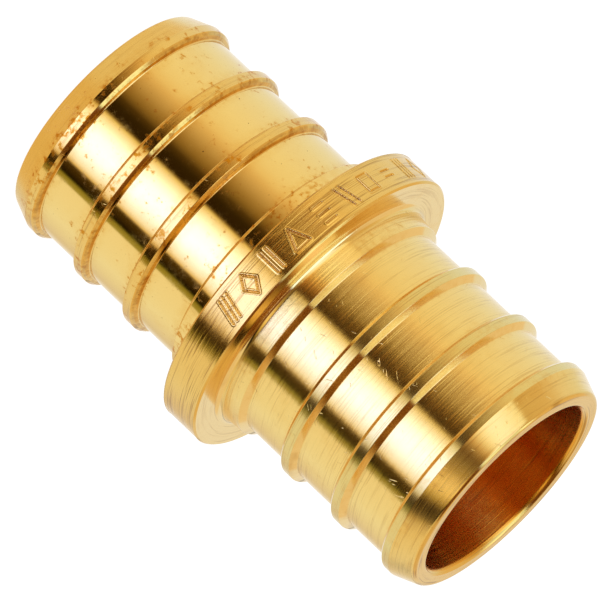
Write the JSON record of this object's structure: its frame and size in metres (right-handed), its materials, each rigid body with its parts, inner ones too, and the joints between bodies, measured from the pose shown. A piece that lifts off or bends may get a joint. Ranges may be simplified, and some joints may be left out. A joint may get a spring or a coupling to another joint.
{
  "type": "barbed insert tube coupling",
  "caption": "Straight turned brass insert coupling with equal ribbed ends, a central stop collar and an open bore, for joining plastic water tube.",
  "frame": {"origin": "middle of the stop collar, on the tube axis", "axes": "+Z along the tube axis, out of one of the two equal ends; -Y points out within 3 degrees of the middle of the third stamped sign"},
  "size_m": [0.0218, 0.0218, 0.0358],
  "materials": {
    "brass": "turned and partly polished, with light tarnish"
  },
  "bodies": {
    "root": {"coupling_body": "brass"}
  },
  "joints": []
}
